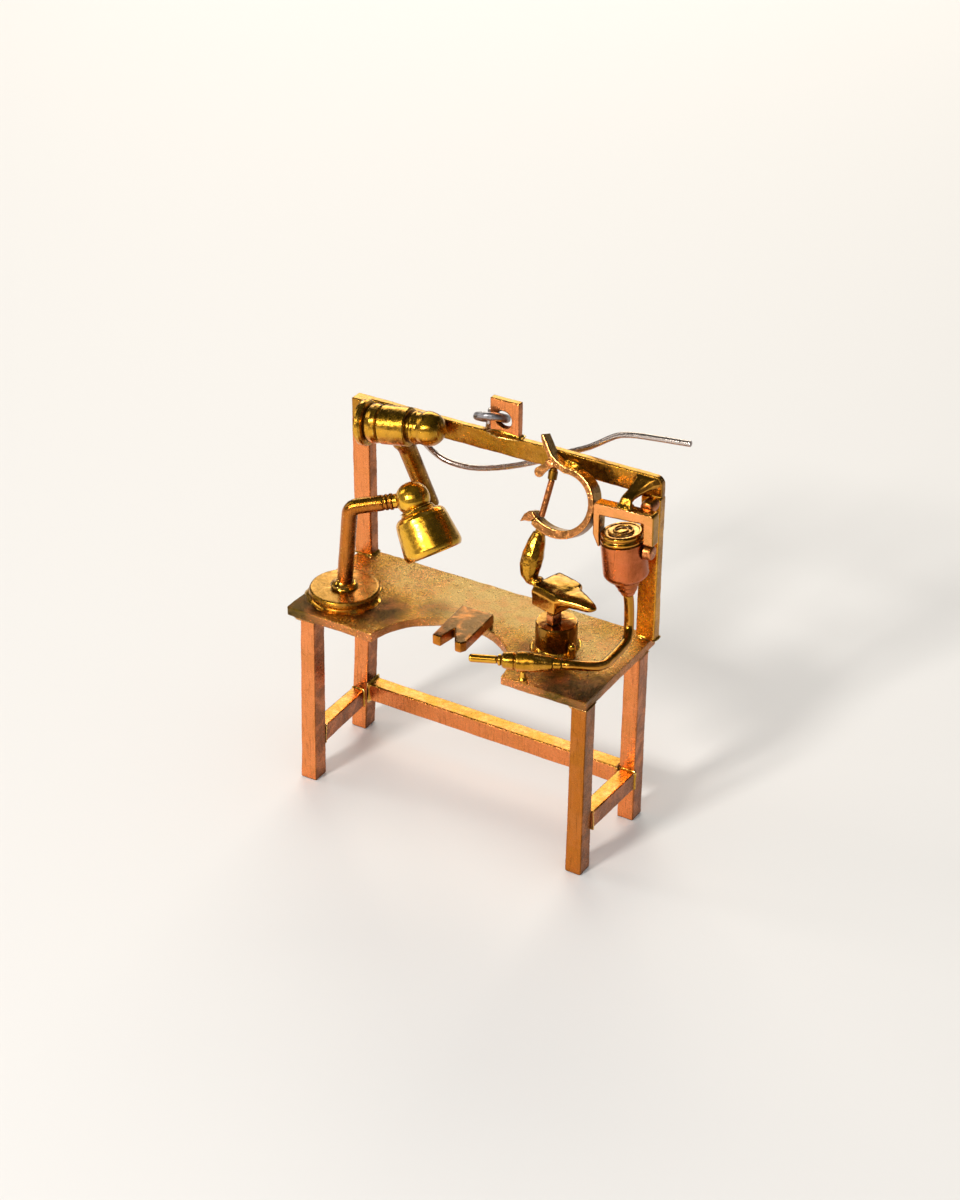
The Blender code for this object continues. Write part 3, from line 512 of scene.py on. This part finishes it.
def metal(name, side, top, dark, rough=0.22, spread=0.12, grain=0.0, scratch=0.25, pits=0.25, stain=0.5,
          edge=(1.0, 0.86, 0.6), oxide=0.85, swirl=0.0, right=0.55, drift=0.4, painted_light_spots=(),
          painted_floor_reflection=(0.55, 0.19, 0.06), painted_floor_reflection_amount=0.8, streaks=0.0, front=None, tone=(1.0, 0.8, 0.45)):
    """A worn metal with procedural colour, roughness and bumps.

    side, top, painted_floor_reflection and front are its colours by the way it faces, which are painted
    light and reflection: the last two lie on faces turned down and to the front. dark is the colour of its
    stains and edge that of its edges, lightened by wear and by a painted highlight; tone multiplies them
    all. right is how far it darkens, as painted shade, where it faces right, drift how much of the top
    colour wanders over its sides. stain, streaks, pits and oxide are amounts of dark marks, the last where
    surfaces meet. rough and spread are its roughness and how much that varies. grain, scratch, pits and
    swirl are bumps. painted_light_spots are places on the bench with painted sheen and painted shade:
    (x, y, reach) in mm, colour, amount and added roughness.
    """
    side, top, dark, edge, painted_floor_reflection, front = (
        tuple(c * t for c, t in zip(colour, tone)) if colour else None
        for colour in (side, top, dark, edge, painted_floor_reflection, front))
    look = Look(name)

    # Colour by the way the surface faces, which is painted light and reflection: the sides take the side
    # colour and the tops the top colour.
    colour = look.mix(look.ramp(look.axis(2), 0.25, 0.8), side, top)
    gold = look.ramp(look.noise(0.28, 2.0, 0.5, warp=0.4), 0.46, 0.62)
    colour = look.over(colour, top, gold, drift)
    # Painted reflection: faces turned to the front take the front colour.
    if front:
        colour = look.mix(look.ramp(look.axis(1), -0.85, -0.6, 1.0, 0.0), colour, front)
    extra = 0.0
    # Painted sheen and painted shade in spots on the bench, each with its own added roughness.
    for x, y, reach, shade, amount, rougher in painted_light_spots:
        near = look.near(x, y, reach)
        colour = look.over(colour, shade, near, amount)
        extra = look.math("ADD", look.math("MULTIPLY", near, rougher), extra)
    # Painted reflection of the floor on faces turned downwards.
    colour = look.over(colour, painted_floor_reflection, look.ramp(look.axis(2), -0.65, -0.05, 1.0, 0.0), painted_floor_reflection_amount)
    # Painted shade: faces turned to the right are darkened.
    colour = look.over(colour, dimmed(side, 0.22), look.ramp(look.axis(0), 0.35, 0.85), right)

    # Marks, from broad to fine.
    broad = look.ramp(look.noise(0.45, 3.0, 0.6, warp=0.6), 0.42, 0.66)
    colour = look.over(colour, tuple(min(1.0, 1.12 * c + 0.03) for c in side), broad, 0.35)
    patch = look.ramp(look.noise(1.3, 6.0, 0.68, warp=0.9), 0.56, 0.74)
    colour = look.over(colour, dark, patch, stain)
    streak = look.noise(1.0, 4.0, 0.6, coords=look.stretched((5.0, 5.0, 0.35)), warp=0.5)
    colour = look.over(colour, dimmed(side, 0.5), look.ramp(streak, 0.5, 0.7), streaks)
    speck = look.ramp(look.noise(7.0, 3.0, 0.6), 0.68, 0.78)
    colour = look.over(colour, dimmed(dark, 0.4), speck, pits)
    if grain:
        flecks = look.ramp(look.noise(6.5, 4.0, 0.75), 0.44, 0.58)
        colour = look.over(colour, dimmed(top, 0.45), flecks, 0.5 * grain)
    shut = look.math("MULTIPLY", look.math("SUBTRACT", 1.0, look.crevice(0.55, 0.28, 0.8)), oxide)
    colour = look.mix(shut, colour, dimmed(dark, 0.45))
    # Edges lightened both by wear and by a painted highlight.
    wear_and_glint = look.ramp(look.geometry.outputs["Pointiness"], 0.53, 0.6)
    colour = look.over(colour, edge, wear_and_glint, 0.6)
    look.link(colour, look.shader.inputs["Base Color"])

    fuzz = look.ramp(look.noise(2.2, 5.0, 0.7), 0.35, 0.7, rough, rough + spread)
    fuzz = look.math("ADD", fuzz, look.math("MULTIPLY", shut, 0.25))
    if painted_light_spots:
        fuzz = look.math("MINIMUM", look.math("MAXIMUM", look.math("ADD", fuzz, extra), 0.1), 0.7)
    look.link(fuzz, look.shader.inputs["Roughness"])

    lines = look.noise(1.0, 3.0, 0.7, coords=look.stretched((22.0, 22.0, 1.6)), warp=0.3)
    cross = look.noise(1.0, 2.0, 0.6, coords=look.stretched((1.8, 2.4, 26.0)), warp=0.4)
    normal = look.bump(look.math("ADD", lines, look.math("MULTIPLY", cross, 0.7)), scratch, 0.02)
    normal = look.bump(look.ramp(look.noise(4.5, 4.0, 0.7), 0.26, 0.34), pits, 0.03, normal)
    if grain:
        normal = look.bump(look.noise(5.5, 5.0, 0.75), grain, 0.15, normal)
    if swirl:
        normal = look.bump(look.noise(1.1, 2.0, 0.5), swirl, 0.12, normal)
    look.link(normal, look.shader.inputs["Normal"])
    return look.material


# Colours in linear RGB, before the tone of each look. The salmon pink is a painted reflection, laid on side
# faces and undersides.
SALMON_REFLECTION = (0.86, 0.35, 0.19)
ORANGE = (0.66, 0.27, 0.05)
GOLD = (0.90, 0.55, 0.09)
OLIVE = (0.34, 0.215, 0.02)
BROWN = (0.20, 0.085, 0.012)
KHAKI = (0.22, 0.13, 0.012)
satin = metal("satin_gold", (0.50, 0.27, 0.05), OLIVE, BROWN, 0.2, 0.14, scratch=0.25, pits=0.3,
              stain=0.6, edge=(1.0, 0.72, 0.3), grain=0.12, right=0.8, streaks=0.3)
rose = metal("rose_brass", SALMON_REFLECTION, OLIVE, BROWN, 0.22, 0.14, scratch=0.3, pits=0.4, stain=0.5,
             edge=(1.0, 0.7, 0.36), drift=0.12, right=0.9, streaks=0.6, grain=0.08)
amber = metal("amber_brass", (0.54, 0.21, 0.05), OLIVE, BROWN, 0.2, 0.14, scratch=0.6, pits=0.4,
              stain=0.5, edge=(1.0, 0.7, 0.3), drift=0.15, right=0.85, streaks=0.6)
ember = metal("ember_brass", (0.95, 0.52, 0.10), OLIVE, BROWN, 0.2, 0.14, scratch=0.4, pits=0.4,
              stain=0.5, edge=(1.0, 0.7, 0.3), drift=0.15, right=0.85, streaks=0.4, grain=0.15)
pink = metal("pink_brass", (0.70, 0.22, 0.12), OLIVE, BROWN, 0.18, 0.12, scratch=0.35, pits=0.4,
             stain=0.6, edge=(1.0, 0.6, 0.4), drift=0.1, right=0.6, streaks=0.8, grain=0.05, swirl=0.2)
bright = metal("polished_brass", GOLD, (0.62, 0.38, 0.05), KHAKI, 0.12, 0.12, scratch=0.12, pits=0.15,
               stain=0.8, swirl=0.3, edge=(1.0, 0.8, 0.3))
gloss = metal("glossy_brass", (0.78, 0.42, 0.09), (0.22, 0.14, 0.01), KHAKI, 0.14, 0.14, scratch=0.12,
              pits=0.3, stain=0.7, swirl=0.35, edge=(1.0, 0.7, 0.3))
worked = metal("worked_brass", (0.66, 0.40, 0.06), (0.42, 0.27, 0.03), KHAKI, 0.17, 0.14, scratch=0.25,
               pits=0.3, stain=0.9, swirl=0.35, edge=(1.0, 0.78, 0.3), grain=0.06, painted_floor_reflection=SALMON_REFLECTION,
               painted_floor_reflection_amount=0.75)
aged = metal("aged_brass", (0.62, 0.36, 0.06), (0.36, 0.22, 0.03), (0.10, 0.065, 0.008), 0.16, 0.16,
             scratch=0.15, pits=0.3, stain=0.8, swirl=0.4, edge=(0.9, 0.62, 0.22), painted_floor_reflection=SALMON_REFLECTION,
             painted_floor_reflection_amount=0.7)
murky = metal("murky_brass", (0.34, 0.19, 0.03), (0.22, 0.13, 0.015), (0.05, 0.03, 0.003), 0.12, 0.14,
              scratch=0.15, pits=0.4, stain=0.8, swirl=0.4, edge=(0.9, 0.62, 0.22))
darkened = metal("dark_brass", (0.30, 0.17, 0.03), (0.36, 0.22, 0.03), (0.07, 0.04, 0.01), 0.3, 0.2,
                 stain=0.8)
faced = metal("faced_brass", (0.48, 0.29, 0.04), (0.52, 0.32, 0.04), KHAKI, 0.16, 0.14, scratch=0.3,
              pits=0.3, stain=0.45, swirl=0.2, edge=(1.0, 0.72, 0.36), front=(0.95, 0.46, 0.25))
shade_look = metal("shade_brass", (0.90, 0.60, 0.10), (0.74, 0.46, 0.05), KHAKI, 0.2, 0.1, scratch=0.08,
                   pits=0.1, stain=0.6, swirl=0.35, edge=(1.0, 0.8, 0.3), painted_floor_reflection=SALMON_REFLECTION, painted_floor_reflection_amount=0.9)
disc = metal("disc_brass", (0.66, 0.36, 0.07), (0.24, 0.145, 0.012), KHAKI, 0.24, 0.14, scratch=0.2,
             pits=0.5, stain=0.7, swirl=0.3, edge=(1.0, 0.75, 0.35), grain=0.08)
pin_look = metal("pin_brass", ORANGE, (0.09, 0.052, 0.003), BROWN, 0.26, 0.1, scratch=0.3, pits=0.3,
                 edge=(1.0, 0.75, 0.35))
solder = metal("solder", (0.84, 0.54, 0.12), (0.78, 0.48, 0.08), (0.08, 0.045, 0.008), 0.14, 0.2,
               scratch=0.05, pits=0.5, stain=0.9, oxide=0.5, swirl=0.35)
wire = metal("steel_wire", (0.54, 0.46, 0.42), (0.60, 0.52, 0.47), (0.10, 0.09, 0.09), 0.2, 0.1,
             scratch=0.2, pits=0.1, stain=0.3, edge=(0.7, 0.68, 0.66), oxide=0.4, tone=(1, 1, 1))
ring_grey = metal("grey_ring", (0.36, 0.35, 0.37), (0.40, 0.39, 0.41), (0.08, 0.07, 0.08), 0.3, 0.2,
                  scratch=0.2, pits=0.8, stain=0.6, edge=(0.6, 0.6, 0.6), oxide=0.4, swirl=0.4,
                  tone=(1, 1, 1))
# The colours of the bench's painted sheen and painted shade.
PAINTED_SHEEN = (1.0, 0.72, 0.27)
PAINTED_SHADE = (0.085, 0.048, 0.002)
# Painted light on the bench: a painted sheen along the back, and painted shade in the corners and by the
# anvil.
bench_look = metal(
    "bench_brass", SALMON_REFLECTION, (0.84, 0.56, 0.14), (0.34, 0.19, 0.02), 0.22, 0.1, grain=1.0, scratch=0.1,
    pits=0.3, stain=0.35, edge=(1.0, 0.75, 0.35), drift=0.2,
    painted_light_spots=((-1, 4.5, 8.5, PAINTED_SHEEN, 1.0, 0.05), (7, 5.5, 6.5, PAINTED_SHEEN, 1.0, 0.04), (-10, 5, 5, PAINTED_SHEEN, 0.6, 0.0),
             (14.5, 1.5, 5, PAINTED_SHEEN, 0.8, 0.03), (-17.5, -6, 6.0, PAINTED_SHADE, 1.0, -0.08),
             (-9.5, -3.5, 4.5, PAINTED_SHADE, 1.0, -0.08), (16.5, -6.5, 6.5, PAINTED_SHADE, 1.0, -0.08),
             (10.5, -2.5, 5, PAINTED_SHADE, 1.0, -0.08), (-4.5, 0.2, 2.4, PAINTED_SHADE, 0.6, 0.0)))

# ---------------------------------------------------------------- fine surfaces

fine("bench_top", bench_look, 0.085, 4, 0.24, 3.2, 0.03)
for n in ("leg_front_left", "leg_back_left", "leg_back_right", "hanging_tab", "stretcher_left",
          "stretcher_right", "stretcher_back"):
    fine(n, rose, 0.07, 4, 0.1, 3.0)
fine("leg_front_right", amber, 0.07, 4, 0.1, 3.0)
fine("top_rail", (satin, rose, ember), 0.07, 5, 0.12, 2.6, 0.015, joined=("post_left", "post_right"),
     zones=lambda x, y, z: 0 if z > RAIL_LOW else 1 if x < 0 else 2)
fine("motor_yoke", faced, 0.07, 4, 0.08, 2.0)
fine("bench_pin", pin_look, 0.06, 4, 0.03)
# Painted shade: the block is dark brass to stand for the shadow under the pin.
fine("bench_pin_block", darkened, 0.06, 3)
fine("anvil", gloss, 0.08, 60, 0.1, 2.4)
fine("anvil_foot", rose, 0.06, 4, 0.03)
fine("motor_hanger", gloss, 0.06, 36, 0.05)
fine("saw_bow", faced, 0.05, 5, 0.02)
fine("saw_jaw", faced, 0.05, 5, 0.02)
fine("saw_wing_plate", faced, 0.05, 4, 0.02)
fine("saw_handle", aged, 0.05, 20, 0.15, 1.2)
fine("saw_blade", rose, 0.05, 5, 0.01)
fine("saw_collar", darkened, 0.05, 5, 0.02)
fine("hammer_handle", satin, 0.06, 10, 0.03)
fine("lamp_arm", amber, 0.06, 10, 0.05)
fine("lamp_socket", shade_look, 0.05, 14, 0.0)
fine("flex_hose", gloss, 0.06, 10, 0.02)
fine("motor_coil", satin, 0.045, 4, 0.0)
fine("jump_ring", ring_grey, 0.05, 10, 0.04, 0.5)
fine("ear_wire", wire, 0.05, 8, 0.0)

turned("lamp_base", disc, 128, wobble=0.04)
turned("anvil_stump", murky, 128, wobble=0.04)
turned("lamp_collar", bright)
turned("lamp_shade", shade_look, 160, 0.14, wobble=0.05)
for n in ("hammer_face", "hammer_neck", "hammer_head", "hammer_peen"):
    turned(n, worked, 128, wobble=0.06)
turned("motor_body", pink, 128, wobble=0.05)
turned("motor_cap", gloss, 128, 0.05)
turned("motor_nozzle", pink, 96, 0.06)
turned("motor_trunnion", rose, 64)
turned("yoke_spacer", rose, 64)
turned("stump_peg", bright, 64)
turned("handpiece_bur", bright, 64)
turned("handpiece_ring", bright, 64, 0.05)
turned("handpiece_body", aged, 96, 0.05, wobble=0.08)
turned("handpiece_ferrule", aged, 64, 0.05)
turned("handpiece_rest", bright, 64)

# ---------------------------------------------------------------- solder

low, high = sides_of("lamp_base")
x, y = ((low + high) / 2)[:2]
ring_bead("solder_lamp_base", (x, y, TOP), (0, 0, 1), (high[0] - low[0]) / 2 - 0.42, 0.75, 0.62, solder,
          lumps=0.7)
ring_bead("solder_lamp_rod", (x + 0.06, y, high[2] + 0.40), (0, 0, 1), 0.84, 0.5, 0.5, solder, lumps=0.8)
ring_bead("solder_shade", between("lamp_socket", "lamp_shade"), (-0.569, 0.211, 0.795), 1.3, 0.55, 0.5,
          shade_look, lumps=0.4, seed=3.0)
low, high = sides_of("anvil_stump")
x, y = ((low + high) / 2)[:2]
ring_bead("solder_stump", (x, y, TOP), (0, 0, 1), (high[0] - low[0]) / 2 - 0.1, 0.7, 0.6, solder,
          lumps=0.6, seed=4.0)
for n in ("post_left", "post_right"):
    foot_bead("solder_" + n, n, 1, 0.28, 0.45, solder, lumps=0.6, seed=1.0)
for n in ("leg_front_left", "leg_front_right", "leg_back_left", "leg_back_right"):
    foot_bead("solder_" + n, n, -1, 0.14, 0.25, solder, lumps=0.5)
for n in ("stretcher_left", "stretcher_right"):
    for sign, side in ((1, "back"), (-1, "front")):
        end_bead(f"solder_{n}_{side}", n, 1, sign, 0.2, 0.35, solder, lumps=0.6)
for sign, side in ((1, "right"), (-1, "left")):
    end_bead("solder_stretcher_back_" + side, "stretcher_back", 0, sign, 0.4, 0.45, solder, lumps=0.9)
foot_bead("solder_tab", "hanging_tab", 1, 0.45, 0.4, solder, lumps=0.9, seed=2.0)

# Lumps between two pieces, moved by a shift; both that and the radii are in mm.
for name, pair, shift, radii, look in (
    ("saw_foot", ("saw_handle", "anvil"), (0.0, 0.0, -0.05), (0.8, 0.75, 0.6), aged),
    ("saw_grip", ("saw_handle", "saw_bow"), (0.0, 0.1, 0.0), (0.62, 0.6, 0.42), aged),
    ("saw_jaw", ("saw_jaw", "saw_bow"), (0.0, 0.0, 0.0), (0.42, 0.8, 0.4), aged),
    ("saw_wing", ("saw_wing_plate", "saw_bow"), (0.0, 0.1, -0.1), (0.62, 0.4, 0.5), rose),
    ("saw_rail", ("saw_bow", "top_rail"), (0.0, 0.0, 0.0), (1.3, 0.5, 0.65), worked),
    ("hammer_rail", ("hammer_head", "top_rail"), (0.0, 0.0, 0.0), (1.4, 0.4, 0.7), worked),
    ("hanger", ("motor_hanger", "motor_yoke"), (0.0, 0.0, 0.0), (0.95, 0.7, 0.3), worked),
):
    blob("solder_" + name, between(*pair) + np.array(shift), radii, look)

# ---------------------------------------------------------------- stage


def add_floor():
    """A pale floor. Far off, where the lamps no longer reach it, it glows to meet the backdrop."""
    mesh = bpy.data.meshes.new("floor")
    far = FLOOR_HALF
    mesh.from_pydata([(-far, -far, 0), (far, -far, 0), (far, far, 0), (-far, far, 0)], [], [(0, 1, 2, 3)])
    floor = bpy.data.objects.new("floor", mesh)
    bpy.context.scene.collection.objects.link(floor)
    paint = bpy.data.materials.new("floor")
    paint.use_nodes = True
    shader = paint.node_tree.nodes["Principled BSDF"]
    shader.inputs["Base Color"].default_value = (0.73, 0.72, 0.71, 1)
    shader.inputs["Roughness"].default_value = 0.6
    nodes, links = paint.node_tree.nodes, paint.node_tree.links
    coords, reach, fade = (nodes.new("ShaderNode" + kind) for kind in ("TexCoord", "VectorMath", "MapRange"))
    path, glow = nodes.new("ShaderNodeLightPath"), nodes.new("ShaderNodeMath")
    reach.operation, glow.operation = "LENGTH", "MULTIPLY"
    fade.interpolation_type = "SMOOTHSTEP"
    for socket, value in (("From Min", 0.3), ("From Max", 1.1), ("To Min", 0.0), ("To Max", 0.45)):
        fade.inputs[socket].default_value = value
    links.new(coords.outputs["Object"], reach.inputs[0])
    links.new(reach.outputs["Value"], fade.inputs["Value"])
    links.new(fade.outputs["Result"], glow.inputs[0])
    links.new(path.outputs["Is Camera Ray"], glow.inputs[1])
    links.new(glow.outputs["Value"], shader.inputs["Emission Strength"])
    mesh.materials.append(paint)
    floor.location.z = min(cad_box[0][2], 0.0) - 0.00001


def add_light(name, place, size, power, colour):
    """A soft lamp aimed at the object, in metres and watts."""
    light = bpy.data.lights.new(name, "AREA")
    light.shape = "RECTANGLE"
    light.size, light.size_y = size
    light.energy = power
    light.color = colour
    made = bpy.data.objects.new(name, light)
    bpy.context.scene.collection.objects.link(made)
    made.location = place
    made.rotation_euler = (MIDDLE - Vector(place)).to_track_quat("-Z", "Y").to_euler()


def add_world():
    """Pale to the camera, an even glow for the floor, and mostly dark round the metal, for contrast."""
    world = bpy.data.worlds.new("studio")
    bpy.context.scene.world = world
    world.use_nodes = True
    tree = world.node_tree
    tree.nodes.clear()
    out = tree.nodes.new("ShaderNodeOutputWorld")
    path = tree.nodes.new("ShaderNodeLightPath")
    coords = tree.nodes.new("ShaderNodeTexCoord")
    split = tree.nodes.new("ShaderNodeSeparateXYZ")
    ramp = tree.nodes.new("ShaderNodeValToRGB")
    tree.links.new(coords.outputs["Generated"], split.inputs[0])
    tree.links.new(split.outputs["Z"], ramp.inputs["Fac"])
    stops = ramp.color_ramp.elements
    stops[0].position, stops[1].position = 0.0, 1.0
    for at, value in ((0.16, 0.18), (0.34, 0.11), (0.5, 0.05), (0.8, 0.04)):
        stops.new(at).color = (value, value * 0.96, value * 0.9, 1)
    stops[0].color, stops[-1].color = (0.14, 0.13, 0.12, 1), (0.12, 0.12, 0.12, 1)
    grounds = []
    for colour in ((0.56, 0.56, 0.56, 1), (0.86, 0.85, 0.84, 1), None):
        ground = tree.nodes.new("ShaderNodeBackground")
        if colour:
            ground.inputs["Color"].default_value = colour
        else:
            tree.links.new(ramp.outputs["Color"], ground.inputs["Color"])
        grounds.append(ground)
    last = grounds[0].outputs[0]
    for ground, ray in zip(grounds[1:], ("Is Camera Ray", "Is Glossy Ray")):
        pick = tree.nodes.new("ShaderNodeMixShader")
        tree.links.new(path.outputs[ray], pick.inputs["Fac"])
        tree.links.new(last, pick.inputs[1])
        tree.links.new(ground.outputs[0], pick.inputs[2])
        last = pick.outputs[0]
    tree.links.new(last, out.inputs["Surface"])


def add_camera():
    """The photo's view, as fitted to the bench's edges; places are in mm from the bench's middle."""
    lens = bpy.data.cameras.new("camera")
    lens.lens, lens.sensor_width, lens.sensor_fit = 73.8, 36.0, "AUTO"
    lens.clip_start, lens.clip_end = 0.01, 20.0
    camera = bpy.data.objects.new("camera", lens)
    bpy.context.scene.collection.objects.link(camera)
    place = Vector(BENCH + (117.589, -195.140, 159.926)) * MM
    aim = Vector(BENCH + (1.29, 0.0, 25.22)) * MM
    turn = (aim - place).to_track_quat("-Z", "Y").to_matrix().to_4x4()
    camera.matrix_world = Matrix.Translation(place) @ turn @ Matrix.Rotation(math.radians(0.29), 4, "Z")
    bpy.context.scene.camera = camera


add_floor()
add_world()
for lamp in (
    ("key", (-0.115, -0.49, 0.33), (0.09, 0.09), 2.5, (1.0, 0.96, 0.9)),
    ("front_card", (0.10, -0.42, 0.37), (0.24, 0.12), 0.35, (1.0, 0.95, 0.88)),
    ("back_card", (-0.24, 0.46, 0.29), (0.46, 0.24), 1.6, (1.0, 0.93, 0.8)),
    ("left_card", (-0.50, -0.10, 0.30), (0.10, 0.30), 0.35, (1.0, 0.95, 0.9)),
):
    add_light(*lamp)
add_camera()
bpy.context.scene.view_settings.view_transform = "Standard"
